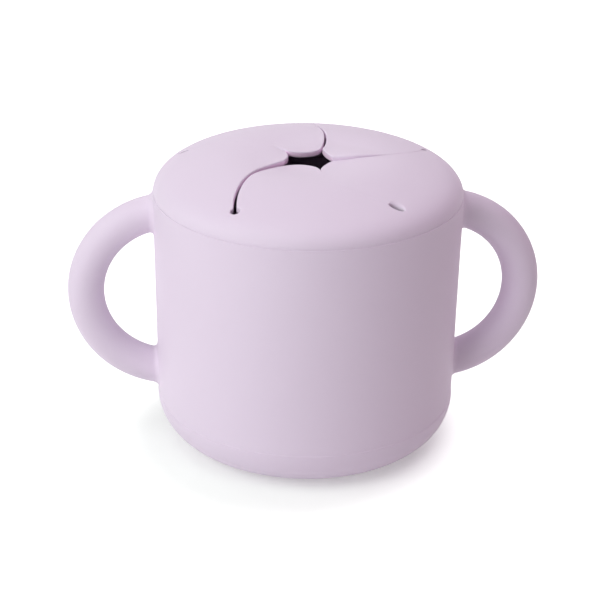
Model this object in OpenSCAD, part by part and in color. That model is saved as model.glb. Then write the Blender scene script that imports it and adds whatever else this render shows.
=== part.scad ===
// Snack cup for a toddler: a soft cup with two loop handles and a lid whose top is
// five curved flaps. A small hand pushes the flaps down to reach in, and they spring
// back and keep the snacks inside. The origin is the centre of the foot, +Z is up,
// and the handles lie along X. Angles on the lid count from -Y towards +X.

/* [Cup] */
// Outer radius of the cup and of the lid where they meet
cup_r = 45; // [40:0.5:52]
// Height of the seam between the cup and the lid
seam_h = 76.4; // [70:0.1:95]
// Thickness of the cup wall
cup_wall = 3; // [2.6:0.1:4]
// Thickness of the cup floor above its hollow underside
cup_floor = 3; // [2:0.1:5]
// How much narrower the wall is at the crease than at the seam, on the radius
wall_taper = 0.3; // [0:0.1:1.5]
// Inner radius of the bend between the wall and the floor
inside_bend_r = 10; // [4:0.5:14]

/* [Foot] */
// Height of the crease where the rounded foot starts
crease_h = 11.5; // [8:0.5:14]
// Depth of the crease
crease_step = 0.25; // [0.1:0.05:0.5]
// How far the rounded foot runs in from the wall to the flat it stands on
foot_bend = 10.2; // [6:0.2:14]
// Width of the flat ring the cup stands on
foot_ring = 7; // [4:0.5:12]
// Depth of the hollow inside that ring
foot_hollow = 0.8; // [0.4:0.1:1.5]

/* [Handles] */
// Radius of the loop, to the middle of its round bar
loop_r = 25; // [21:0.5:27]
// Radius of the round bar
bar_r = 5.2; // [4:0.1:6.5]
// How far the loop's centre lies inside the cup wall
loop_inset = 4.9; // [2:0.1:8]
// Radius of the flare where the bar grows out of the wall
root_r = 1.6; // [0.8:0.1:2.4]
// Plain wall between the seam and the top of the upper flare
handle_gap = 0.4; // [0.2:0.1:4]

/* [Lid] */
// Rise of the rounded shoulder above the seam
shoulder_h = 6.3; // [4.5:0.1:8]
// How square the shoulder is: a higher number keeps the top flat further out
shoulder_square = 9.9; // [7:0.1:14]
// How full the shoulder is near the seam: 2 is a round corner, less is fuller inwards
shoulder_round = 1.67; // [1.4:0.01:2.2]
// Rise of the lid's middle above the shoulder
crown_h = 1.9; // [0.5:0.1:3]
// Rise of the low swell that rings the middle, where the flaps are widest
swell_h = 2.2; // [0:0.1:2.6]
// Thickness of the lid's top and of the flaps
lid_t = 1.8; // [1.4:0.1:2.2]
// Radius of the soft edges that meet at the seam
seam_edge_r = 0.35; // [0.2:0.05:0.6]

/* [Lid fit] */
// Height of the cup's tongue above its ledge
tongue_h = 1.7; // [1.2:0.1:2.2]
// Thickness of the tongue
tongue_t = 1.35; // [1:0.05:1.6]
// Depth of the lid's plug ring below the seam
plug_depth = 6; // [4:0.5:10]
// Thickness of the plug ring
plug_t = 1.5; // [1.2:0.1:2]
// Radius of the two sealing ribs round the plug ring
rib_r = 0.3; // [0.2:0.05:0.4]
// Clearance of the ribs, the ledge and the tongue
fit_gap = 0.1; // [0.05:0.01:0.2]

/* [Flaps] */
// Width of the lid between the plug ring and the middle of each end hole
hole_land = 2.8; // [2:0.1:4]
// Radius of the small round hole that ends each slit
hole_r = 1.3; // [1:0.1:1.8]
// Radius from the centre to the points of the star
star_r = 8; // [7:0.1:11]
// Angle by which each slit turns on its way from the end hole to the star
slit_twist = 26; // [22:0.5:34]
// How far the slit bows out from a straight line
slit_bow = 4.7; // [4:0.1:6.5]
// Width of the slit
slit_w = 0.5; // [0.4:0.05:0.8]
// How far each flap's root line lies inside the line between two end holes
root_inset = 1.8; // [1:0.1:3.5]
// How far the round bead along each flap's root reaches past the flap itself
bead_over = 0.1; // [0.05:0.05:0.4]
// Running clearance of the bead in its groove
bead_gap = 0.15; // [0.1:0.01:0.25]

/* [Hidden] */
$fn = 96;

flap_count = 5;
step_a = 360 / flap_count;
lilac = [0.86, 0.8, 0.88];
lid_lilac = [0.88, 0.82, 0.9];

// Cup
foot_r = cup_r - wall_taper;
foot_flat_r = foot_r - foot_bend;
cup_in_r = cup_r - cup_wall;
floor_z = foot_hollow + cup_floor;
ledge_z = seam_h - fit_gap;
tongue_top = ledge_z + tongue_h;
tongue_out_r = cup_in_r + tongue_t;
bend_steps = 12;

// Handles: the angle up the loop at which the bar meets the wall
loop_x = cup_r - loop_inset;
root_a = acos(loop_inset / loop_r);
loop_z = seam_h - handle_gap - loop_r * sin(root_a) - bar_r - root_r;
bar_end_a = root_a + asin(cup_wall / loop_r) * 0.8;
root_steps = 8;

// Lid
skirt_in_r = tongue_out_r + fit_gap;
channel_top = tongue_top + fit_gap;
plug_r = cup_in_r - fit_gap - rib_r;
plug_in_r = plug_r - plug_t;
plug_z = seam_h - plug_depth;
lid_steps = 20;
lid_crowding = 2.5;
roof_top = seam_h + shoulder_h + crown_h + swell_h;
// Makes swell_h the height of the swell, which is highest where u * (1 - u)^3 is
swell_gain = 256 / 27;

// Slits: each is one arc, from its end hole to a point of the star. These are in the
// slit's own frame, where the end hole lies towards -Y.
hole_ring_r = plug_in_r - hole_land;
slit_start = [0, -hole_ring_r];
slit_end = star_r * toward(-slit_twist);
slit_chord = slit_end - slit_start;
slit_len = norm(slit_chord);
slit_a = atan2(slit_chord.y, slit_chord.x);
slit_r = (slit_len * slit_len / 4 + slit_bow * slit_bow) / (2 * slit_bow);
slit_c = (slit_start + slit_end) / 2 + (slit_r - slit_bow) * [sin(slit_a), -cos(slit_a)];
// The tip of each flap is one arc too: it runs on smoothly from the slit at one point
// of the star and ends at the next, so its centre lies on two lines.
tip_mid = toward(step_a / 2 - slit_twist);
tip_line = (slit_c - slit_end) / slit_r;
tip_r = cross(slit_end, tip_mid) / cross(tip_mid, tip_line);
tip_c = slit_end + tip_r * tip_line;

// Roots: in the flap's own frame, its middle lies towards -Y and it turns about X
far_slit_c = turned(slit_c, step_a / 2);
near_slit_c = turned(slit_c, -step_a / 2);
hinge_y = -(hole_ring_r * cos(step_a / 2) - root_inset);
root_top = lid_z(-hinge_y);
root_bottom = lid_z(norm([slit_x(near_slit_c, hinge_y), hinge_y])) - lid_t;
hinge_z = (root_top + root_bottom) / 2;
bead_r = (root_top - root_bottom) / 2 + bead_over;
// The heel is cut so far in that the flap's rounded root turns clear of its neighbour
heel_x = slit_x(far_slit_c, hinge_y + 2 * bead_r) - slit_w;
bead_start_x = slit_x(near_slit_c, hinge_y - bead_r - bead_gap) + slit_w * 1.5;
block_z = plug_z - 1;
block_h = roof_top - block_z + 1;
big = cup_r * 3;

// A unit step towards an angle on the lid
function toward(a) = [sin(a), -cos(a)];

// A point turned about the lid's middle
function turned(p, a) = [p.x * cos(a) - p.y * sin(a), p.x * sin(a) + p.y * cos(a)];

// Where a slit's arc crosses a line parallel to the root, on its outward side
function slit_x(c, y) = c.x - sqrt(slit_r * slit_r - (y - c.y) * (y - c.y));

// Height of the lid's outside at a distance from the axis
function lid_z(r) =
    let (u = pow(r / cup_r, 2))
    seam_h + shoulder_h * pow(1 - pow(r / cup_r, shoulder_square), 1 / shoulder_round)
    + (crown_h + swell_h * swell_gain * u) * pow(1 - u, 3);

// Distances from the axis, crowded towards the shoulder, that fall between two limits
function lid_radii(r_min, r_max) = concat([r_max],
    [for (i = [1 : lid_steps - 1])
        let (r = cup_r * (1 - pow(i / lid_steps, lid_crowding)))
        if (r < r_max - 0.01 && r > r_min + 0.01) r],
    [r_min]);

function reversed(list) = [for (i = [len(list) - 1 : -1 : 0]) list[i]];

function lid_outside(r_min, r_max) = [for (r = lid_radii(r_min, r_max)) [r, lid_z(r)]];

function lid_inside(r_min, r_max) = [for (r = reversed(lid_radii(r_min, r_max))) [r, lid_z(r) - lid_t]];

// Outside of the cup from the flat it stands on up to its ledge
function cup_outside() = concat(
    [for (i = [0 : bend_steps])
        let (a = 90 * i / bend_steps)
        [foot_flat_r + (foot_bend - crease_step) * sin(a), crease_h * (1 - cos(a))]],
    [[foot_r, crease_h + crease_step],
     [cup_r, ledge_z - seam_edge_r],
     [cup_r - seam_edge_r, ledge_z]]);

function cup_inside() = concat(
    [[cup_in_r, tongue_top]],
    [for (i = [0 : bend_steps])
        let (a = 90 * i / bend_steps)
        [cup_in_r - inside_bend_r * (1 - cos(a)), floor_z + inside_bend_r * (1 - sin(a))]],
    [[0, floor_z]]);

module cup_body() {
    hollow_r = foot_flat_r - foot_ring;
    color(lilac)
    rotate_extrude()
        polygon(concat(
            cup_outside(),
            [[tongue_out_r, ledge_z],
             [tongue_out_r, tongue_top - seam_edge_r],
             [tongue_out_r - seam_edge_r, tongue_top]],
            cup_inside(),
            [[0, foot_hollow], [hollow_r - foot_hollow, foot_hollow], [hollow_r, 0]]));
}

// The space that the cup's outside fills, for trimming the handles against the wall
module cup_space() {
    rotate_extrude()
        polygon(concat([[0, 0]], cup_outside(), [[0, ledge_z]]));
}

// The flare at one end of a handle, along the bar and facing out of the wall
module handle_root() {
    fillet = [for (a = [90 : -90 / root_steps : 10])
        [bar_r + root_r * (1 - cos(a)), root_r * (1 - sin(a))]];
    rotate_extrude()
        polygon(concat([[0, -root_r], [bar_r + root_r, -root_r]], fillet,
                       [[bar_r - root_r / 4, root_r * 1.5], [0, root_r * 1.5]]));
}

module handle() {
    color(lilac)
    difference() {
        translate([loop_x, 0, loop_z])
        rotate([90, 0, 0]) {
            rotate_extrude(angle = 2 * bar_end_a, start = -bar_end_a)
                translate([loop_r, 0])
                    circle(r = bar_r);
            for (side = [-1, 1])
                rotate([0, 0, side * root_a])
                translate([loop_r, 0, 0])
                rotate([side * 90, 0, 0])
                    handle_root();
        }
        cup_space();
    }
}

module handle_right() {
    handle();
}

module handle_left() {
    rotate([0, 0, 180]) handle();
}

// Straight-sided shapes that cut the lid from above. The near slit is the one that a
// flap bulges over, and the far slit is the one that its neighbour bulges over.
module upright(c, r) {
    translate([c.x, c.y, block_z])
        cylinder(r = r, h = block_h);
}

module near_disc(grow) {
    upright(near_slit_c, slit_r + grow);
}

module far_disc(grow) {
    upright(far_slit_c, slit_r + grow);
}

// Everything on the flap's side of its root line, and short of the heel
module flap_side(heel) {
    translate([-big, hinge_y, block_z])
        cube([big + heel, big, block_h]);
}

// Everything outward of the two points of the star that this flap's tip spans
module outward_of_star() {
    mid = turned(tip_mid, -step_a / 2) * star_r * cos(step_a / 2);
    translate([mid.x, mid.y, block_z])
    rotate([0, 0, -slit_twist])
    translate([-big, -2 * big, 0])
        cube([2 * big, 2 * big, block_h]);
}

// The bead along a flap's root, or its groove
module root_rod(r, x_from, x_to) {
    translate([x_from, hinge_y, hinge_z])
    rotate([0, 90, 0])
        cylinder(r = r, h = x_to - x_from);
}

module under_lid(r_max) {
    rotate_extrude()
        polygon(concat([[0, block_z]], lid_inside(0, r_max), [[r_max, block_z]]));
}

module dome_solid(r_max) {
    rotate_extrude()
        polygon(concat([[0, block_z], [r_max, block_z]], lid_outside(0, r_max)));
}

// A flap in its own frame, where its middle lies towards -Y and it turns about X
module flap() {
    tip = turned(tip_c, -step_a / 2);
    span = norm([bead_start_x, hinge_y]) + bead_r * 2;
    intersection() {
        dome_solid(span);
        union() {
            root_rod(bead_r, bead_start_x, heel_x);
            difference() {
                intersection() {
                    flap_side(heel_x);
                    near_disc(-slit_w / 2);
                    union() {
                        outward_of_star();
                        upright(tip, tip_r);
                    }
                }
                far_disc(slit_w / 2);
                under_lid(span + 1);
            }
        }
    }
}

// What one flap and its bead need cleared out of the lid
module flap_clearance() {
    clear_r = bead_r + bead_gap;
    clear_x = heel_x + slit_w;
    difference() {
        intersection() {
            near_disc(slit_w / 2);
            union() {
                flap_side(clear_x);
                root_rod(clear_r, -cup_r, clear_x);
                translate([-cup_r, hinge_y - bead_r, block_z])
                    cube([cup_r + clear_x, bead_r, hinge_z - block_z]);
            }
        }
        far_disc(-slit_w / 2);
    }
}

module lid_section() {
    roof_in_r = -hinge_y - bead_r * 2;
    rib_z = [plug_z + plug_depth / 4, plug_z + plug_depth * 5 / 8];
    polygon(concat(
        [[cup_r - seam_edge_r, seam_h]],
        lid_outside(roof_in_r, cup_r * (1 - pow(1 / lid_steps, lid_crowding))),
        lid_inside(roof_in_r, plug_in_r),
        [[plug_in_r, plug_z + plug_t / 3], [plug_in_r + plug_t / 3, plug_z],
         [plug_r - plug_t / 3, plug_z], [plug_r, plug_z + plug_t / 3]],
        [for (z = rib_z, a = [-90 : 30 : 90]) [plug_r + rib_r * cos(a), z + rib_r * sin(a)]],
        [[plug_r, channel_top], [skirt_in_r, channel_top], [skirt_in_r, seam_h]]));
}

module lid_rim() {
    color(lid_lilac)
    difference() {
        rotate_extrude() lid_section();
        for (k = [0 : flap_count - 1])
            rotate([0, 0, step_a * k]) {
                flap_clearance();
                upright(turned(slit_start, -step_a / 2), hole_r);
            }
    }
}

// Flap 1 lies at the front, and the others follow towards +X
module flap_at(place) {
    color(lid_lilac)
    rotate([0, 0, step_a * (place - 1)])
        flap();
}

cup_body();
handle_left();
handle_right();
lid_rim();
flap_at(1);  // flap_1
flap_at(2);  // flap_2
flap_at(3);  // flap_3
flap_at(4);  // flap_4
flap_at(5);  // flap_5
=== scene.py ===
import math

import bmesh
import bpy
import numpy as np
from mathutils import Matrix


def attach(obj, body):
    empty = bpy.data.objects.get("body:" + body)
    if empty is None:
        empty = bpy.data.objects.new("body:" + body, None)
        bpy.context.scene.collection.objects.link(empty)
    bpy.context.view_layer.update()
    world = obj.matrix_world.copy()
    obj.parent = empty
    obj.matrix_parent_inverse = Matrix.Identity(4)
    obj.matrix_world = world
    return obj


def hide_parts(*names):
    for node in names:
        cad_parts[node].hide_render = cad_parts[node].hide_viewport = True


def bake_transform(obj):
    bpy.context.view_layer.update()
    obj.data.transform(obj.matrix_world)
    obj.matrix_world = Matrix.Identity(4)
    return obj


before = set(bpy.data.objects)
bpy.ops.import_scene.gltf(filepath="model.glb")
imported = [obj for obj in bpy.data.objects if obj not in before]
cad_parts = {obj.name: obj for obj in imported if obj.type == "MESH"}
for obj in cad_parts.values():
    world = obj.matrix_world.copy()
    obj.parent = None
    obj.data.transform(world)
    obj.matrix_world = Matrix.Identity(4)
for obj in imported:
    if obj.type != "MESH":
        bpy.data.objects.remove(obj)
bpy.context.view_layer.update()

MM = 0.001

# Cup: its outside at the seam, its wall and floor, how much narrower the wall is at the
# crease, and the bend between its inside and its floor
CUP_R = 45.0
SEAM_Z = 76.4
WALL_T = 3.0
FLOOR_T = 3.0
WALL_TAPER = 0.45
INSIDE_BEND = 10.0
CUP_IN_R = CUP_R - WALL_T
WALL_LOW_R = CUP_R - WALL_TAPER

# Foot: a flat ring round a shallow hollow, and a rounded side up to the crease. There the
# foot stands out from the wall by CREASE_STEP, its edge rises CREASE_TOP_H above CREASE_Z,
# and the wall starts CREASE_STEP above CREASE_Z
CREASE_Z = 12.2
CREASE_STEP = 0.13
CREASE_TOP_H = 0.1
CREASE_EDGE_R = 0.1
CREASE_ROOT_R = 0.05
FOOT_FLAT_R = 33.0
FOOT_RING = 7.0
FOOT_HOLLOW = 0.8
HOLLOW_BEND_R = 0.8
HOLLOW_EDGE_R = 0.4
# The rounded side hands over to the crease this far below CREASE_Z
FOOT_JOIN = 0.02
FOOT_TOP_R = WALL_LOW_R + CREASE_STEP
FLOOR_Z = FOOT_HOLLOW + FLOOR_T

# Seam: how far below SEAM_Z it shows, the hairline between the lid's edge and the cup's
# ledge, how far the ledge stands out, and how round the edges beside it are
SEAM_DROP = 0.35
SEAM_GAP = 0.01
LEDGE_OUT = 0.18
CUP_EDGE_R = 0.08
LID_EDGE_R = 0.03
SKIRT_IN_EDGE_R = 0.1
LID_EDGE_Z = SEAM_Z - SEAM_DROP
LEDGE_Z = LID_EDGE_Z - SEAM_GAP
LEDGE_R = CUP_R + LEDGE_OUT

# Fit of the lid: the cup's tongue stands in a channel of the lid, and the lid's plug, with
# two ribs, goes into the cup's mouth. The mouth's rounded edge lies within MOUTH_EDGE_H of
# the tongue's top
FIT_GAP = 0.1
TONGUE_H = 1.7
TONGUE_T = 1.35
TONGUE_ROOT_EDGE_R = 0.1
TONGUE_OUT_EDGE_R = 0.4
TONGUE_IN_EDGE_R = 0.3
MOUTH_EDGE_H = 1.0
PLUG_DEPTH = 6.0
PLUG_T = 1.5
PLUG_EDGE_R = 0.5
RIB_R = 0.3
RIBS_UP = (1.5, 3.75)
TONGUE_R = CUP_IN_R + TONGUE_T
TONGUE_TOP = SEAM_Z - FIT_GAP + TONGUE_H
SKIRT_R = TONGUE_R + FIT_GAP
CHANNEL_TOP = TONGUE_TOP + FIT_GAP
PLUG_R = CUP_IN_R - FIT_GAP - RIB_R
PLUG_Z = SEAM_Z - PLUG_DEPTH

# Handles: a round bar on a circle whose centre lies inside the wall, with a fillet at each
# root that is larger on the inside of the loop. ROOT_REACH is how full the fillet's curve
# is. Past it, the surface runs on by ROOT_RUN and sinks into the wall by ROOT_SINK
LOOP_INSET = 4.9
LOOP_X = CUP_R - LOOP_INSET
LOOP_Z = 44.68
BAR_R = 5.38
ROOT_R = 1.4
ROOT_INNER_R = 2.2
ROOT_REACH = 0.6
ROOT_RUN = 0.2
ROOT_SINK = 0.4
# Each loop: its side of the cup, its radius, how much higher it stands, and how far it is
# squeezed in at its lower outside, where soft silicone settles
HANDLES = {
    "handle_right": dict(side=1, loop_r=25.15, up=0.0, squeeze=1.05),
    "handle_left": dict(side=-1, loop_r=25.2, up=0.1, squeeze=0.0),
}
SQUEEZE_A = math.radians(-15)
SQUEEZE_POWER = 3
# The bar meets the wall between these angles, in radians from the loop's outermost point
MEET_FROM, MEET_TO = 0.9, 1.9

# Lid: its thickness, its shoulder's height and the powers that set how far out it stays
# level and how it rounds, the crown at its middle, the swell round that, and how far its
# far side is raised and its front lowered
LID_T = 1.8
SHOULDER_H = 6.65
SHOULDER_SQUARE = 9.9
SHOULDER_ROUND = 1.67
CROWN_H = 1.9
SWELL_H = 2.2
# Makes the swell SWELL_H high, because u (1 - u)^3 is 27 / 256 at most
SWELL_GAIN = 256 / 27
LID_LEAN = 0.3
# The shoulder's curve ends this far above SEAM_Z, where it is as good as upright
SKIRT_EDGE_H = 0.2

# Flaps: how many, the radius at which their pieces meet the rim's, the radius at which
# they bend, and how round their edges are at the tip and underneath
FLAPS = 5
STEP_A = 360 / FLAPS
RIM_IN_R = 41.4
HINGE_R = 28.376
TIP_EDGE_R = 0.4
UNDER_EDGE_R = 0.3
# The rim's underside lies this far below the flaps'
UNDER_GAP = 0.02
# A slit that gapes this wide gives its cut faces the most painted glow, a pink that stands in for light
# coming through the silicone
WIDE_GAPE = 0.5

# Each slit, by the angle that it is named for: how far it bows, the radius and the turn
# of its point of the star, how wide it gapes at the hole and at the star, and how round
# the top edges of the flaps before and after it are at the star
SLITS = {
    -36: dict(bow=4.1, star_r=8.3, twist=32, gape=(0.9, 0.5), edges=(0.5, 0.4)),
    36: dict(bow=4.7, star_r=9.7, twist=20.5, gape=(0.02, 0.04), edges=(0.08, 0.08)),
    108: dict(bow=5.7, star_r=6.9, twist=19.5, gape=(0.06, 0.10), edges=(0.08, 0.6)),
    180: dict(bow=3.6, star_r=8.5, twist=32, gape=(0.10, 0.60), edges=(0.6, 0.3)),
    252: dict(bow=4.1, star_r=8.4, twist=22, gape=(0.03, 0.04), edges=(0.8, 0.1)),
}
# Each slit's end hole: its distance from the axis, its angle, the angle that its long way
# points to, its half length and half width, and how round its edges are where the slit
# starts and on the flaps before and after it
HOLES = {
    -36: dict(r=38.3, a=-36.3, points=-10, half=(1.3, 1.3), edge=0.4, edges=(0.4, 0.4)),
    36: dict(r=37.7, a=34.9, points=65, half=(2.3, 1.1), edge=0.08, edges=(0.1, 1.6)),
    108: dict(r=37.7, a=109.9, points=141, half=(1.3, 0.55), edge=0.1, edges=(0.1, 0.1)),
    180: dict(r=37.4, a=180, points=210, half=(1.3, 0.9), edge=0.2, edges=(0.3, 0.3)),
    252: dict(r=39.0, a=247, points=266, half=(1.7, 0.55), edge=0.08, edges=(0.1, 0.1)),
}
# Each flap's tip: how far it stands above the lid's even dome at its near and far slit,
# and how full its outline is at either end
TIPS = {
    1: dict(lift=(-0.7, -0.1), full=(1.2, 0.95)),
    2: dict(lift=(-0.1, -0.45), full=(0.8, 0.9)),
    3: dict(lift=(0.85, 0.95), full=(0.25, 0.5)),
    4: dict(lift=(0.45, 0.95), full=(0.45, 0.8)),
    5: dict(lift=(0.25, 0.75), full=(0.7, 0.55)),
}
# The stretch of a flap, measured from its hinge, over which its lift grows
LIFT_FROM, LIFT_TO = 13, 22

# How finely each form is drawn
REVOLVE_COLUMNS = 288
FOOT_POINTS = 25
BEND_STEPS = 24
SHOULDER_POINTS = 60
RIB_STEPS = 6
UNDER_POINTS = 6
SLIT_POINTS = 400
HOLE_STEPS = 48
TIP_STEPS = 120
# The shoulder's points crowd towards the seam by this power
SHOULDER_CROWD = 2.6
# A flap's rows beside the rim, round the end hole and along the slit, the steps between
# its rounded edges, and the columns of each rounded edge
ROWS_LAND, ROWS_HOLE, ROWS_SLIT = 8, 30, 130
COLUMNS = 64
EDGE_COLUMNS = 7
# A rounded edge takes up no more than this share of a flap's width
EDGE_SHARE = 0.3
# The edges turn to the tip's own roundness over 1 / TIP_EDGE_SPEED of the tip's outline
TIP_EDGE_SPEED = 4
# The rim's round line fades out of a flap over this share of its rows
RIM_FADE = 0.5
# Width of the narrow row beside the rim, with which the shading runs on across the join
RIM_STEP = 0.06
# How many times the normals of an edge are smoothed
NORMAL_ROUNDS = 40
# A point this close to an outline counts as on it, and points this close are welded
ON_EDGE = 0.01
WELD = 0.002
# Faces that meet at a larger angle than this are shaded with a sharp edge
SHARP_DEG = 45
# Keeps divisions away from zero
TINY = 1e-12

# Camera: its place, its heading from +Y towards +X, its tilt down and its roll in degrees,
# and its lens
CAMERA_AT = (-42.7, -469.0, 262.7)
CAMERA_HEADING = 4.971
CAMERA_TILT = 25.275
CAMERA_ROLL = 0.910
CAMERA_LENS = 104.452
CAMERA_SENSOR = 36
CAMERA_NEAR = 10

# Lamps: soft boxes that face the middle of the cup, all from the same distance. Each has an
# angle round the cup and one above the floor, a size in metres, a power in watts and a
# colour. Its lower edge stays LAMP_CLEARANCE above the floor
LAMP_AIM = np.array([0, 0, 0.045])
LAMP_FAR = 1.5
LAMP_CLEARANCE = 0.01
LAMPS = {
    "key": dict(around=-52, up=30, size=1.2, power=6.3, colour=(0.97, 1.0, 0.98)),
    "key_left": dict(around=-78, up=36, size=1.0, power=6.3, colour=(0.95, 1.0, 0.94)),
    "low_front": dict(around=-38, up=6, size=0.5, power=3.7, colour=(0.96, 0.84, 1.0)),
    "low_right": dict(around=65, up=6, size=0.5, power=0.7, colour=(1.0, 0.22, 0.45)),
    "top": dict(around=0, up=85, size=1.4, power=10.4, colour=(0.975, 0.995, 1.0)),
    "back": dict(around=180, up=35, size=1.2, power=3.6, colour=(0.96, 0.97, 0.97)),
    "right_back": dict(around=112, up=55, size=1.2, power=3.8, colour=(1.0, 0.57, 0.88)),
}
# The light that the air gives the object, and what the eye sees behind it
AIR_GLOW = 0.02
BACKDROP = (1, 1, 1, 1)

# Floor: half its width, its colour, the middle of the foot's shadow, how far from it a painted
# glow starts to rise over the shadow and where it is white, how much the floor glows to the eye
# in the shadow, and the faint light that the floor throws back at the object
FLOOR_HALF = 3000
FLOOR_COLOUR = (0.80, 0.835, 0.797, 1)
SHADOW_AT = (-7.7, -11.4, 0.0)
SHADOW_IN_R = 38.0
SHADOW_OUT_R = 67.0
SHADOW_GLOW = 0.31
BOUNCE = {"Color": (1.0, 0.78, 0.98, 1), "Strength": 0.075}

# Silicone: its two tones, the painted glow of its cut faces, which stands in for light coming through
# them, the shader's own values, and the noise and the bump of its drift of colour and its grain
LILAC = (0.81, 0.71, 0.835, 1)
LILAC_SHADE = (0.785, 0.685, 0.81, 1)
# Painted glow: the lighter pink that cut faces take in place of the light that comes through thin silicone
LILAC_CUT_GLOW = (0.97, 0.75, 0.95, 1)
SILICONE = {
    "Roughness": 0.55,
    "Specular IOR Level": 0.35,
    "Sheen Weight": 0.12,
    "Sheen Roughness": 0.5,
    "Sheen Tint": (1.0, 0.95, 1.0, 1),
}
DRIFT = {"Scale": 28, "Detail": 3}
GRAIN = {"Scale": 2600, "Detail": 4}
GRAIN_BUMP = {"Strength": 0.08, "Distance": 0.0002}


# ---------------------------------------------------------------- curves

def unit(v):
    """The direction of a vector."""
    return v / np.linalg.norm(v)


def smooth(t):
    """Eases from 0 to 1 while t goes from 0 to 1."""
    t = np.clip(t, 0, 1)
    return t * t * (3 - 2 * t)


def arc(centre, radius, start, end, steps):
    """Points of a circle's arc; the angles are in degrees from +X."""
    a = np.radians(np.linspace(start, end, steps + 1))
    return np.column_stack([centre[0] + radius * np.cos(a), centre[1] + radius * np.sin(a)])


def bezier(points, steps):
    """Points along a curve with two end points and two handles."""
    t = np.linspace(0, 1, steps + 1)[:, None]
    p0, p1, p2, p3 = points
    return (1 - t) ** 3 * p0 + 3 * (1 - t) ** 2 * t * p1 + 3 * (1 - t) * t * t * p2 + t ** 3 * p3


def rounded(corners, steps=6):
    """A polyline through corners (x, y, radius), each rounded by an arc of its radius."""
    points = [corners[0][:2]]
    for before, (x, y, radius), after in zip(corners, corners[1:], corners[2:]):
        here = np.array([x, y])
        if radius <= 0:
            points.append(here)
            continue
        back = unit(np.array(before[:2]) - here)
        ahead = unit(np.array(after[:2]) - here)
        half = math.acos(float(np.clip(back @ ahead, -1, 1))) / 2
        centre = here + unit(back + ahead) * radius / math.sin(half)
        start = here + back * radius / math.tan(half) - centre
        end = here + ahead * radius / math.tan(half) - centre
        turn = math.atan2(start[0] * end[1] - start[1] * end[0], float(start @ end))
        for i in range(steps + 1):
            c, s = math.cos(turn * i / steps), math.sin(turn * i / steps)
            points.append(centre + [c * start[0] - s * start[1], s * start[0] + c * start[1]])
    points.append(corners[-1][:2])
    return np.array(points, float)


def length_of(points):
    """The length of a polyline."""
    return np.linalg.norm(np.diff(points, axis=0), axis=1).sum()


def spaced(points, count):
    """A polyline's points spaced evenly along it."""
    steps = np.linalg.norm(np.diff(points, axis=0), axis=1)
    far = np.concatenate([[0], np.cumsum(steps)])
    at = np.linspace(0, far[-1], count)
    return np.column_stack([np.interp(at, far, points[:, 0]), np.interp(at, far, points[:, 1])])


def distance_to(points, line, batch=2000):
    """The distance from each point to a polyline, worked out a batch at a time."""
    a, b = line[:-1], line[1:]
    ab = b - a
    nearest = np.empty(len(points))
    for start in range(0, len(points), batch):
        p = points[start:start + batch, None]
        t = np.clip(((p - a) * ab).sum(-1) / ((ab * ab).sum(-1) + TINY), 0, 1)
        nearest[start:start + batch] = np.linalg.norm(p - a - t[..., None] * ab, axis=-1).min(1)
    return nearest


# ---------------------------------------------------------------- meshes

def mesh_piece(name, verts, faces):
    """A mesh object from points in millimetres."""
    mesh = bpy.data.meshes.new(name)
    mesh.from_pydata((np.asarray(verts, float) * MM).tolist(), [], faces)
    mesh.validate()
    piece = bpy.data.objects.new(name, mesh)
    bpy.context.scene.collection.objects.link(piece)
    return piece


def finished(piece, weld=0.0):
    """Turns a piece's normals outwards and shades it smooth. Where asked, it first welds
    points closer than weld millimetres."""
    work = bmesh.new()
    work.from_mesh(piece.data)
    if weld:
        bmesh.ops.remove_doubles(work, verts=work.verts, dist=weld * MM)
    bmesh.ops.recalc_face_normals(work, faces=work.faces)
    work.to_mesh(piece.data)
    work.free()
    piece.data.shade_smooth()
    piece.data.set_sharp_from_angle(angle=math.radians(SHARP_DEG))
    return piece


def revolve(name, profile, closed=False, shape=None):
    """Turns a profile of (radius, height) round Z. An open profile starts and ends on the axis.
    shape, where given, moves the points before the mesh is made."""
    rings = profile if closed else profile[1:-1]
    count, columns = len(rings), REVOLVE_COLUMNS
    a = np.linspace(0, 2 * math.pi, columns, endpoint=False)
    verts = np.empty((count, columns, 3))
    verts[..., 0] = rings[:, :1] * np.cos(a)
    verts[..., 1] = rings[:, :1] * np.sin(a)
    verts[..., 2] = rings[:, 1:]
    verts = verts.reshape(-1, 3).tolist()
    faces = []
    for i in range(count if closed else count - 1):
        low, high = i * columns, (i + 1) % count * columns
        for j in range(columns):
            k = (j + 1) % columns
            faces.append((low + j, low + k, high + k, high + j))
    if not closed:
        for pole, ring in ((profile[0], 0), (profile[-1], count - 1)):
            verts.append((0, 0, pole[1]))
            for j in range(columns):
                faces.append((len(verts) - 1, ring * columns + j, ring * columns + (j + 1) % columns))
    if shape:
        verts = shape(np.array(verts))
    return finished(mesh_piece(name, verts, faces))


# ---------------------------------------------------------------- cup and handles

def wall_r(z):
    """Outer radius of the cup's wall at a height."""
    low_z = CREASE_Z + CREASE_STEP
    return WALL_LOW_R + (LEDGE_R - WALL_LOW_R) * (z - low_z) / (LEDGE_Z - low_z)


def foot_arc():
    """The foot's rounded side, from its flat ring up to the crease."""
    a = np.linspace(0, math.pi / 2, FOOT_POINTS)
    return np.column_stack([FOOT_FLAT_R + (FOOT_TOP_R - FOOT_FLAT_R) * np.sin(a),
                            CREASE_Z * (1 - np.cos(a))])


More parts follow.
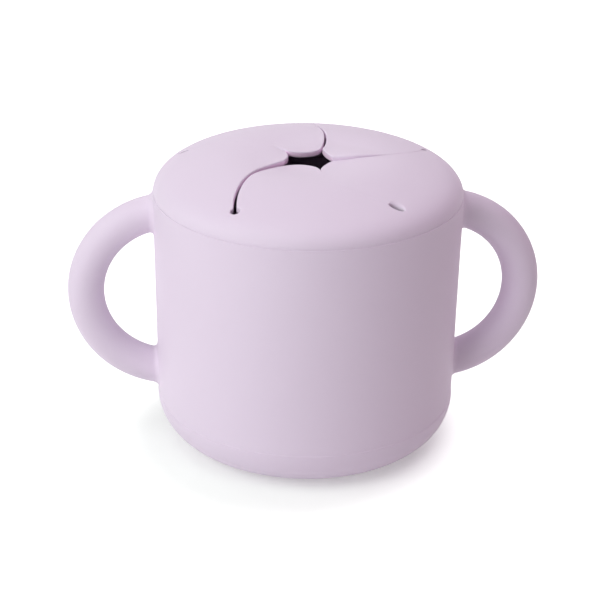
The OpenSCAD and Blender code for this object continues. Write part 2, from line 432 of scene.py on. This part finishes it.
def make_cup():
    """The cup without its handles: underside, foot, wall, ledge, tongue and inside."""
    hollow_r = FOOT_FLAT_R - FOOT_RING
    under = rounded([(0, FOOT_HOLLOW, 0),
                     (hollow_r - FOOT_HOLLOW, FOOT_HOLLOW, HOLLOW_BEND_R),
                     (hollow_r, 0, HOLLOW_EDGE_R),
                     (FOOT_FLAT_R, 0, 0)])
    side = rounded([(FOOT_TOP_R, CREASE_Z - FOOT_JOIN, 0),
                    (FOOT_TOP_R, CREASE_Z + CREASE_TOP_H, CREASE_EDGE_R),
                    (WALL_LOW_R, CREASE_Z + CREASE_STEP, CREASE_ROOT_R),
                    (LEDGE_R, LEDGE_Z, CUP_EDGE_R),
                    (TONGUE_R, LEDGE_Z, TONGUE_ROOT_EDGE_R),
                    (TONGUE_R, TONGUE_TOP, TONGUE_OUT_EDGE_R),
                    (CUP_IN_R, TONGUE_TOP, TONGUE_IN_EDGE_R),
                    (CUP_IN_R, TONGUE_TOP - MOUTH_EDGE_H, 0)])
    bend = arc((CUP_IN_R - INSIDE_BEND, FLOOR_Z + INSIDE_BEND), INSIDE_BEND, 0, -90, BEND_STEPS)
    return revolve("cup", np.vstack([under[:-1], foot_arc()[:-1], side, bend, [(0, FLOOR_Z)]]))


class Loop:
    """One handle's bar: a ring of round section, squeezed in a little at its lower outside."""

    def __init__(self, side, loop_r, up, squeeze):
        self.side = side
        self.loop_r = loop_r
        self.z = LOOP_Z + up
        self.squeeze = squeeze

    def point(self, turn, along, bar_r=BAR_R):
        """A point on the bar: turn is the angle round the bar, along the angle round the loop."""
        near_squeeze = (1 + math.cos(along - SQUEEZE_A)) / 2
        ring_r = self.loop_r - self.squeeze * near_squeeze ** SQUEEZE_POWER
        out = ring_r + bar_r * math.cos(turn)
        return np.array([LOOP_X + out * math.cos(along), bar_r * math.sin(turn),
                         self.z + out * math.sin(along)])

    def meets_wall(self, turn, end, rounds=40):
        """The angle round the loop at which one line of the bar's surface reaches the wall,
        found by halving. end is 1 for the loop's upper end and -1 for its lower one."""
        low, high = MEET_FROM, MEET_TO
        for _ in range(rounds):
            middle = (low + high) / 2
            p = self.point(turn, end * middle)
            if math.hypot(p[0], p[1]) > wall_r(p[2]):
                low = middle
            else:
                high = middle
        return end * low


def root_fillet(loop, turn, end, steps=10, nudge=0.01):
    """The angle round the loop at which a fillet starts, and its points: from the bar, round
    the fillet and onto the wall, ending just inside it. Directions are found by moving on by
    a nudge, in radians."""
    fillet_r = ROOT_R + (ROOT_INNER_R - ROOT_R) * (1 - math.cos(turn)) / 2
    meet = loop.meets_wall(turn, end)
    corner = loop.point(turn, meet)
    next_corner = loop.point(turn + nudge, loop.meets_wall(turn + nudge, end))
    wall_out = unit(np.array([corner[0], corner[1], 0.0]))
    spread = unit(np.cross(next_corner - corner, wall_out))
    if spread @ (corner - loop.point(0, meet, bar_r=0)) < 0:
        spread = -spread
    start_a = meet - end * fillet_r / loop.loop_r
    start = loop.point(turn, start_a)
    onto = unit(loop.point(turn, start_a + end * nudge) - start)
    foot = corner + spread * fillet_r
    foot[:2] *= wall_r(foot[2]) / math.hypot(foot[0], foot[1])
    reach = fillet_r * ROOT_REACH
    curve = bezier((start, start + onto * reach, foot - spread * reach, foot), steps)
    sunk = foot + spread * ROOT_RUN
    sunk[:2] *= 1 - ROOT_SINK / math.hypot(sunk[0], sunk[1])
    return start_a, np.vstack([curve, sunk])


def make_handle(name, around=72, along=90):
    """One loop with a fillet where each end grows out of the wall."""
    loop = Loop(**HANDLES[name])
    columns = []
    for j in range(around):
        turn = 2 * math.pi * j / around
        low_a, low = root_fillet(loop, turn, -1)
        high_a, high = root_fillet(loop, turn, 1)
        middle = [loop.point(turn, low_a + (high_a - low_a) * i / along) for i in range(1, along)]
        columns.append(np.vstack([low[::-1], middle, high]))
    rings = np.array(columns).transpose(1, 0, 2)
    rings[..., :2] *= loop.side
    count = len(rings)
    verts = np.vstack([rings.reshape(-1, 3), rings[0].mean(0), rings[-1].mean(0)])
    faces = []
    for i in range(count - 1):
        low, high = i * around, (i + 1) * around
        for j in range(around):
            k = (j + 1) % around
            faces.append((low + j, low + k, high + k, high + j))
    for j in range(around):
        k = (j + 1) % around
        faces.append((len(verts) - 2, k, j))
        faces.append((len(verts) - 1, (count - 1) * around + j, (count - 1) * around + k))
    return finished(mesh_piece(name + "_loop", verts, faces))


# ---------------------------------------------------------------- lid

def lid_z(r):
    """Height of the lid's outside at a distance from the axis."""
    t = np.clip(np.asarray(r, float) / CUP_R, 0, 1)
    u = t * t
    return (SEAM_Z + SHOULDER_H * (1 - t ** SHOULDER_SQUARE) ** (1 / SHOULDER_ROUND)
            + (CROWN_H + SWELL_H * SWELL_GAIN * u) * (1 - u) ** 3)


def lean(points):
    """Tips the lid above its channel: its far side stands a little higher than its front."""
    share = np.clip((points[:, 2] - CHANNEL_TOP) / (SEAM_Z + SHOULDER_H - CHANNEL_TOP), 0, 1)
    leaned = points.copy()
    leaned[:, 2] += LID_LEAN * points[:, 1] / CUP_R * share
    return leaned


def make_rim():
    """The lid outside the flaps: its shoulder, its skirt over the cup's tongue, and its plug."""
    crowded = 1 - (1 - np.linspace(0, 1, SHOULDER_POINTS)) ** SHOULDER_CROWD
    shoulder_r = RIM_IN_R + (CUP_R - RIM_IN_R) * crowded
    outside = np.column_stack([shoulder_r, lid_z(shoulder_r)])
    outside = outside[outside[:, 1] > SEAM_Z + SKIRT_EDGE_H]
    skirt = [(CUP_R, SEAM_Z, 0), (CUP_R, LID_EDGE_Z, LID_EDGE_R), (SKIRT_R, LID_EDGE_Z, SKIRT_IN_EDGE_R)]
    channel = [(SKIRT_R, CHANNEL_TOP, 0), (PLUG_R, CHANNEL_TOP, 0)]
    ribs = [(x, y, 0) for up in RIBS_UP[::-1]
            for x, y in arc((PLUG_R, PLUG_Z + up), RIB_R, 90, -90, RIB_STEPS)]
    plug_in_r = PLUG_R - PLUG_T
    plug_end = [(PLUG_R, PLUG_Z, PLUG_EDGE_R), (plug_in_r, PLUG_Z, PLUG_EDGE_R)]
    under = [(r, float(lid_z(r)) - LID_T - UNDER_GAP, 0)
             for r in np.linspace(plug_in_r, RIM_IN_R, UNDER_POINTS)]
    below = rounded(skirt + channel + ribs + plug_end + under)
    return revolve("lid_rim_piece", np.vstack([outside, below]), closed=True, shape=lean)


def toward(a):
    """The direction of an angle on the lid."""
    return np.array([math.sin(math.radians(a)), -math.cos(math.radians(a))])


def wrapped(a):
    """An angle as SLITS names it."""
    return (a + STEP_A / 2) % 360 - STEP_A / 2


def hole_frame(name):
    """A hole's centre, the direction that its long way points to, the direction to the left
    of that, and its half length and half width."""
    hole = HOLES[name]
    ahead = toward(hole["points"])
    return hole["r"] * toward(hole["a"]), ahead, np.array([-ahead[1], ahead[0]]), hole["half"]


def in_hole(name, points):
    """Points in a hole's own frame, where its edge is a circle of radius 1."""
    centre, ahead, left, half = hole_frame(name)
    return np.column_stack([(points - centre) @ ahead / half[0], (points - centre) @ left / half[1]])


def slit_arc(name):
    """Start, end, centre and radius of a slit's arc, from inside its end hole to the star."""
    slit = SLITS[name]
    hole_centre, ahead, _, half = hole_frame(name)
    start = hole_centre - (half[0] - half[1]) * ahead
    end = slit["star_r"] * toward(name - slit["twist"])
    chord = end - start
    half_chord = np.linalg.norm(chord) / 2
    radius = (half_chord * half_chord + slit["bow"] ** 2) / (2 * slit["bow"])
    side = np.array([chord[1], -chord[0]]) / np.linalg.norm(chord)
    return start, end, (start + end) / 2 + side * (radius - slit["bow"]), radius


def slit_edge(name, side):
    """One edge of a slit, from its end hole to the star. side is -1 for the edge of the
    flap that bulges over the slit, and 1 for its neighbour's edge."""
    start, end, centre, radius = slit_arc(name)
    t = np.linspace(0, 1, SLIT_POINTS)[:, None]
    start_a = math.atan2(*(start - centre)[::-1])
    end_a = math.atan2(*(end - centre)[::-1])
    a = start_a + ((end_a - start_a + math.pi) % (2 * math.pi) - math.pi) * t
    at_hole, at_star = SLITS[name]["gape"]
    half_gape = (at_hole + (at_star - at_hole) * t) / 2
    points = centre + (radius + side * half_gape) * np.hstack([np.cos(a), np.sin(a)])
    return points[np.linalg.norm(in_hole(name, points), axis=1) > 1]


def hole_edge(name, slit_start, side):
    """The part of an end hole's edge between its outer tip and the start of a slit's edge."""
    centre, ahead, left, half = hole_frame(name)
    at = in_hole(name, slit_start[None])[0]
    turn = math.degrees(math.atan2(at[1], at[0])) * side % 360 * side
    ring = arc((0, 0), 1, 0, turn, HOLE_STEPS)
    return centre + ring[:, :1] * half[0] * ahead + ring[:, 1:] * half[1] * left


def tip_curve(number, from_point, from_centre, to_point):
    """The outline of a flap's tip: it leaves one slit smoothly and ends at the next."""
    inward = unit(from_centre - from_point)
    leave = np.array([inward[1], -inward[0]])
    chord = to_point - from_point
    length = np.linalg.norm(chord)
    along = chord / length
    if leave @ along < 0:
        leave = -leave
    arrive = 2 * (leave @ along) * along - leave
    turn = 2 * math.acos(leave @ along)
    # With handles of this length the curve is as good as an arc of a circle
    reach = 4 / 3 * math.tan(turn / 4) * length / (2 * math.sin(turn / 2))
    full = TIPS[number]["full"]
    return bezier((from_point, from_point + leave * reach * full[0],
                   to_point - arrive * reach * full[1], to_point), TIP_STEPS)


def flap_edges(number):
    """A flap's two edges from the rim to the far point of its tip: each as its stretch
    beside the rim, round the end hole, and along the slit. The near one goes on round the
    tip. Then the names of its two slits, and the share of the near one's last stretch at
    which the tip starts."""
    middle = STEP_A * (number - 1)
    names = wrapped(middle - STEP_A / 2), wrapped(middle + STEP_A / 2)
    near = slit_edge(names[0], -1)
    far = slit_edge(names[1], 1)
    tip = tip_curve(number, near[-1], slit_arc(names[0])[2], far[-1])
    tip_start = length_of(near) / (length_of(near) + length_of(tip))
    edges = []
    for name, side, line in ((names[0], 1, np.vstack([near, tip[1:]])), (names[1], -1, far)):
        hole = hole_edge(name, line[0], side)
        land = np.array([RIM_IN_R * unit(hole[0]), hole[0]])
        edges.append((land, hole, line))
    return edges[0], edges[1], names, tip_start


def edge_rows(parts):
    """A flap's edge, as one point for each row."""
    land, hole, slit = parts
    return np.vstack([spaced(land, ROWS_LAND)[:-1], spaced(hole, ROWS_HOLE)[:-1], spaced(slit, ROWS_SLIT)])


def edge_radii(name, after, slit_end):
    """How round a flap's top edge is in each row, beside the rim, round the end hole and
    along the slit, which ends at slit_end of its rows. after is 1 for the flap after the slit."""
    hole = HOLES[name]
    round_hole = np.sin(np.linspace(0, math.pi, ROWS_HOLE))[:-1]
    along_slit = smooth(np.linspace(0, 1, ROWS_SLIT) / slit_end)
    return hole["edge"] + np.concatenate([np.zeros(ROWS_LAND - 1),
                                          (hole["edges"][after] - hole["edge"]) * round_hole,
                                          (SLITS[name]["edges"][after] - hole["edge"]) * along_slit])


def painted_glow_rows(name, slit_end):
    """How much painted glow, a pink that stands in for light coming through the silicone, a flap's
    side face takes in each row: as much as its slit gapes, and wholly round the tip."""
    at_hole, at_star = SLITS[name]["gape"]
    along_slit = np.linspace(0, 1, ROWS_SLIT) / slit_end
    slit = np.where(along_slit > 1, 1, (at_hole + (at_star - at_hole) * along_slit) / WIDE_GAPE)
    return np.concatenate([np.zeros(ROWS_LAND + ROWS_HOLE - 2), np.minimum(slit, 1)])


def inward_normals(points, side):
    """Normals of an edge, smoothed so that offsets never cross at a corner."""
    tangent = np.gradient(points, axis=0)
    normal = np.column_stack([-tangent[:, 1], tangent[:, 0]]) * side
    normal /= np.linalg.norm(normal, axis=1)[:, None] + TINY
    for _ in range(NORMAL_ROUNDS):
        normal[1:-1] = (normal[:-2] + 2 * normal[1:-1] + normal[2:]) / 4
        normal /= np.linalg.norm(normal, axis=1)[:, None] + TINY
    return normal


def flap_grid(near, far, near_r, far_r):
    """A flap in plan: rows run from the rim to the tip, and columns from the near slit to
    the far one, close together where the top edges are rounded."""
    # Offsets at equal angles round the top edge
    offsets = 1 - np.cos(np.radians(np.linspace(0, 90, EDGE_COLUMNS)))
    room = np.linalg.norm(far - near, axis=1) * EDGE_SHARE
    near_step = inward_normals(near, -1) * np.minimum(near_r, room)[:, None]
    far_step = inward_normals(far, 1) * np.minimum(far_r, room)[:, None]
    near_columns = [near + near_step * offset for offset in offsets]
    far_columns = [far + far_step * offset for offset in offsets]
    # The rim's arc spreads into the first rows
    rim_from, rim_to = (math.atan2(*p[::-1]) for p in (near[0], far[0]))
    rim_to = rim_from + (rim_to - rim_from) % (2 * math.pi)
    rim_a = np.linspace(rim_from, rim_to, COLUMNS + 1)
    rim_arc = RIM_IN_R * np.column_stack([np.cos(rim_a), np.sin(rim_a)])
    fade = np.clip(1 - np.linspace(0, 1, len(near)) / RIM_FADE, 0, 1) ** 2
    columns = list(near_columns)
    for c in range(1, COLUMNS):
        t = c / COLUMNS
        straight = near_columns[-1] * (1 - t) + far_columns[-1] * t
        chord = near[0] * (1 - t) + far[0] * t
        columns.append(straight + (rim_arc[c] - chord) * fade[:, None])
    columns += far_columns[::-1]
    grid = np.array(columns).transpose(1, 0, 2)
    grid[0] *= RIM_IN_R / np.linalg.norm(grid[0], axis=1)[:, None]
    return np.concatenate([grid[:1], grid[:1] * (1 - RIM_STEP / RIM_IN_R), grid[1:]])


def edge_drop(distance, edge_r):
    """How far a rounded edge falls off from its face, at a distance from the outline."""
    return edge_r - np.sqrt(np.maximum(edge_r ** 2 - np.maximum(edge_r - distance, 0) ** 2, 0))


def tip_lift(number, flat, across):
    """How far a flap stands above the even dome, growing towards its tip. across goes from
    0 at the near slit to 1 at the far one."""
    height = HINGE_R - flat @ toward(STEP_A * (number - 1))
    near_lift, far_lift = TIPS[number]["lift"]
    grown = smooth((height - LIFT_FROM) / (LIFT_TO - LIFT_FROM))
    return (near_lift + (far_lift - near_lift) * across) * grown


def flap_faces(rows, columns):
    """The faces of a flap: its top, its underside, its two long sides and its side at the
    rim. Its last row lies at the far point of its tip, where the two long sides meet."""
    below = rows * columns
    faces = []
    for i in range(rows - 1):
        for j in range(columns - 1):
            a = i * columns + j
            faces.append((a, a + 1, a + columns + 1, a + columns))
            faces.append((below + a, below + a + columns, below + a + columns + 1, below + a + 1))
        for a in (i * columns, i * columns + columns - 1):
            faces.append((a, a + columns, below + a + columns, below + a))
    for j in range(columns - 1):
        faces.append((j, below + j, below + j + 1, j + 1))
    return faces


def make_flap(number):
    """One flap with the lid round its root, as a closed solid. A point attribute says how much
    painted glow each point takes: a pink that stands in for light coming through the thin silicone."""
    near_parts, far_parts, names, tip_start = flap_edges(number)
    near, far = edge_rows(near_parts), edge_rows(far_parts)
    # How far each row is round the tip, from 0 on the slit to 1 at the tip's far point
    before = np.zeros(len(near) - ROWS_SLIT)
    round_tip = np.concatenate([before, (np.linspace(0, 1, ROWS_SLIT) - tip_start) / (1 - tip_start)])
    near_r = edge_radii(names[0], 1, tip_start)
    near_r += (TIP_EDGE_R - near_r) * smooth(round_tip * TIP_EDGE_SPEED)
    far_r = edge_radii(names[1], 0, 1)
    grid = flap_grid(near, far, near_r, far_r)
    rows, columns = grid.shape[:2]
    flat = grid.reshape(-1, 2)

    def by_point(values):
        """A value of each row, for every point. The narrow row takes the first row's."""
        return np.repeat(np.concatenate([values[:1], values]), columns)

    to_near = distance_to(flat, np.vstack(near_parts[1:]))
    to_far = distance_to(flat, np.vstack(far_parts[1:]))
    at_tip = smooth(by_point(round_tip))
    across = at_tip + (1 - at_tip) * np.tile(np.linspace(0, 1, columns), rows)
    top = lid_z(np.linalg.norm(flat, axis=1)) + tip_lift(number, flat, across)
    top_drop = np.maximum(edge_drop(to_near, by_point(near_r)), edge_drop(to_far, by_point(far_r)))
    under_drop = np.maximum(edge_drop(to_near, UNDER_EDGE_R), edge_drop(to_far, UNDER_EDGE_R))
    verts = lean(np.vstack([np.column_stack([flat, top - top_drop]),
                            np.column_stack([flat, top - LID_T + under_drop])]))
    flap = mesh_piece(f"flap_{number}_piece", verts, flap_faces(rows, columns))
    # Painted glow: points on the slit faces get a lighter pink that stands in for light coming through the
    # silicone
    painted_glow = np.maximum(by_point(painted_glow_rows(names[0], tip_start)) * (to_near < ON_EDGE),
                       by_point(painted_glow_rows(names[1], 1)) * (to_far < ON_EDGE))
    mark = flap.data.attributes.new("cut", "FLOAT", "POINT")
    mark.data.foreach_set("value", np.tile(painted_glow, 2).astype(np.float32))
    return finished(flap, weld=WELD)


# ---------------------------------------------------------------- materials

def set_inputs(node, values):
    """Sets a node's inputs by their names."""
    for socket, value in values.items():
        node.inputs[socket].default_value = value


def add_node(nodes, kind, **values):
    """A new shader node of a kind, with values for its inputs."""
    node = nodes.new("ShaderNode" + kind)
    set_inputs(node, values)
    return node


def colour_mix(nodes, **values):
    """A node that mixes the colours A and B, with a value for either."""
    mix = nodes.new("ShaderNodeMix")
    mix.data_type = "RGBA"
    set_inputs(mix, values)
    return mix


def silicone(name):
    """Matt moulded silicone: soft colour drift, a fine moulded grain and a dusty sheen. Cut
    faces are painted pinker and lighter, a painted glow in place of the light that comes through the thin
    lid there."""
    material = bpy.data.materials.new(name)
    material.use_nodes = True
    nodes, links = material.node_tree.nodes, material.node_tree.links
    shader = nodes["Principled BSDF"]
    set_inputs(shader, SILICONE)

    place = add_node(nodes, "TexCoord")
    drift = add_node(nodes, "TexNoise", **DRIFT)
    links.new(place.outputs["Object"], drift.inputs["Vector"])
    tint = colour_mix(nodes, A=LILAC_SHADE, B=LILAC)
    links.new(drift.outputs["Fac"], tint.inputs["Factor"])
    # Painted glow: the point attribute mixes the cut faces' lighter pink over the tone
    cut = add_node(nodes, "Attribute")
    cut.attribute_name = "cut"
    painted_glow = colour_mix(nodes, B=LILAC_CUT_GLOW)
    links.new(cut.outputs["Fac"], painted_glow.inputs["Factor"])
    links.new(tint.outputs["Result"], painted_glow.inputs["A"])
    links.new(painted_glow.outputs["Result"], shader.inputs["Base Color"])

    grain = add_node(nodes, "TexNoise", **GRAIN)
    links.new(place.outputs["Object"], grain.inputs["Vector"])
    bump = add_node(nodes, "Bump", **GRAIN_BUMP)
    links.new(grain.outputs["Fac"], bump.inputs["Height"])
    links.new(bump.outputs["Normal"], shader.inputs["Normal"])
    return material


def larger(nodes, links, one, other):
    """The larger of two outputs."""
    node = add_node(nodes, "Math")
    node.operation = "MAXIMUM"
    links.new(one, node.inputs[0])
    links.new(other, node.inputs[1])
    return node.outputs[0]


def for_the_eye(nodes, links, seen, light):
    """Mixes two shaders: rays from the camera and from glossy or clear surfaces meet the one
    called seen, and the rays that light the object meet the one called light."""
    path = add_node(nodes, "LightPath").outputs
    either = larger(nodes, links, path["Is Camera Ray"], path["Is Glossy Ray"])
    pick = add_node(nodes, "MixShader")
    links.new(larger(nodes, links, either, path["Is Transmission Ray"]), pick.inputs[0])
    links.new(light.outputs[0], pick.inputs[1])
    links.new(seen.outputs[0], pick.inputs[2])
    return pick


def floor_material():
    """Matt white that keeps the shadow at the object's foot, is white to the eye further out,
    and throws a faint light back at the object."""
    material = bpy.data.materials.new("floor_white")
    material.use_nodes = True
    nodes, links = material.node_tree.nodes, material.node_tree.links
    nodes.clear()
    matt = add_node(nodes, "BsdfDiffuse", Color=FLOOR_COLOUR)
    place = add_node(nodes, "TexCoord")
    distance = add_node(nodes, "VectorMath")
    distance.operation = "DISTANCE"
    links.new(place.outputs["Object"], distance.inputs[0])
    distance.inputs[1].default_value = [v * MM for v in SHADOW_AT]
    rise = add_node(nodes, "MapRange", **{"From Min": SHADOW_IN_R * MM, "From Max": SHADOW_OUT_R * MM,
                                          "To Min": SHADOW_GLOW, "To Max": 1.0})
    rise.interpolation_type = "SMOOTHSTEP"
    links.new(distance.outputs["Value"], rise.inputs["Value"])
    # Painted light for the eye: the glow stays low at the foot, where the real shadow shows, and rises to
    # white further out, where it covers the shadow
    glow = add_node(nodes, "Emission")
    links.new(rise.outputs["Result"], glow.inputs["Strength"])
    pick = for_the_eye(nodes, links, seen=glow, light=add_node(nodes, "Emission", **BOUNCE))
    both = add_node(nodes, "AddShader")
    links.new(matt.outputs[0], both.inputs[0])
    links.new(pick.outputs[0], both.inputs[1])
    links.new(both.outputs[0], add_node(nodes, "OutputMaterial").inputs["Surface"])
    return material


# ---------------------------------------------------------------- studio

def make_floor():
    """A wide square of floor, level with the foot."""
    square = [(-1, -1), (1, -1), (1, 1), (-1, 1)]
    floor = mesh_piece("floor", [(x * FLOOR_HALF, y * FLOOR_HALF, 0) for x, y in square], [(0, 1, 2, 3)])
    floor.data.materials.append(floor_material())


def make_world():
    """Air that is white to the eye and hardly lights the object."""
    world = bpy.data.worlds.new("studio")
    world.use_nodes = True
    nodes, links = world.node_tree.nodes, world.node_tree.links
    air = nodes["Background"]
    air.inputs["Strength"].default_value = AIR_GLOW
    backdrop = add_node(nodes, "Background", Color=BACKDROP)
    pick = for_the_eye(nodes, links, seen=backdrop, light=air)
    links.new(pick.outputs[0], nodes["World Output"].inputs["Surface"])
    bpy.context.scene.world = world


def put(name, data, right, up, back, at):
    """Puts a lamp or a camera at a point in metres, where it looks away from back."""
    thing = bpy.data.objects.new(name, data)
    thing.matrix_world = Matrix([(right[i], up[i], back[i], at[i]) for i in range(3)] + [(0, 0, 0, 1)])
    bpy.context.scene.collection.objects.link(thing)
    return thing


def soft_light(name, around, up, size, power, colour):
    """A square soft box that faces the middle of the cup, at angles round it and above the floor."""
    light = bpy.data.lights.new(name, "AREA")
    light.size = size
    light.energy = power
    light.color = colour
    around, up = math.radians(around), math.radians(up)
    back = np.array([math.sin(around) * math.cos(up), -math.cos(around) * math.cos(up), math.sin(up)])
    at = LAMP_AIM + back * LAMP_FAR
    at[2] = max(at[2], size / 2 * math.cos(up) + LAMP_CLEARANCE)
    side = unit(np.cross([0, 0, 1], back))
    put(name, light, side, np.cross(back, side), back, at)


def make_camera():
    """The camera, as it was fitted to the photo."""
    heading, tilt, roll = (math.radians(a) for a in (CAMERA_HEADING, CAMERA_TILT, CAMERA_ROLL))
    ahead = np.array([math.sin(heading) * math.cos(tilt), math.cos(heading) * math.cos(tilt),
                      -math.sin(tilt)])
    level = np.array([math.cos(heading), -math.sin(heading), 0])
    upright = np.cross(level, ahead)
    right = math.cos(roll) * level + math.sin(roll) * upright
    up = math.cos(roll) * upright - math.sin(roll) * level
    lens = bpy.data.cameras.new("camera")
    lens.lens = CAMERA_LENS
    lens.sensor_width = CAMERA_SENSOR
    lens.clip_start = CAMERA_NEAR * MM
    bpy.context.scene.camera = put("camera", lens, right, up, -ahead, np.array(CAMERA_AT) * MM)


# ---------------------------------------------------------------- assembly

bpy.context.scene.view_settings.view_transform = "Standard"
make_camera()
make_world()
make_floor()
for name, lamp in LAMPS.items():
    soft_light(name, **lamp)

cup_finish = silicone("cup_silicone")
lid_finish = silicone("lid_silicone")

cup = make_cup()
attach(cup, "cup")
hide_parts("cup_body")
for name in HANDLES:
    handle = make_handle(name)
    handle.data.materials.append(cup_finish)
    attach(handle, "cup")
    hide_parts(name)
cup.data.materials.append(cup_finish)

rim = make_rim()
rim.data.materials.append(lid_finish)
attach(rim, "lid")
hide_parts("lid_rim")
for number in range(1, FLAPS + 1):
    flap = make_flap(number)
    flap.data.materials.append(lid_finish)
    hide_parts(f"flap_{number}")
    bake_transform(flap)
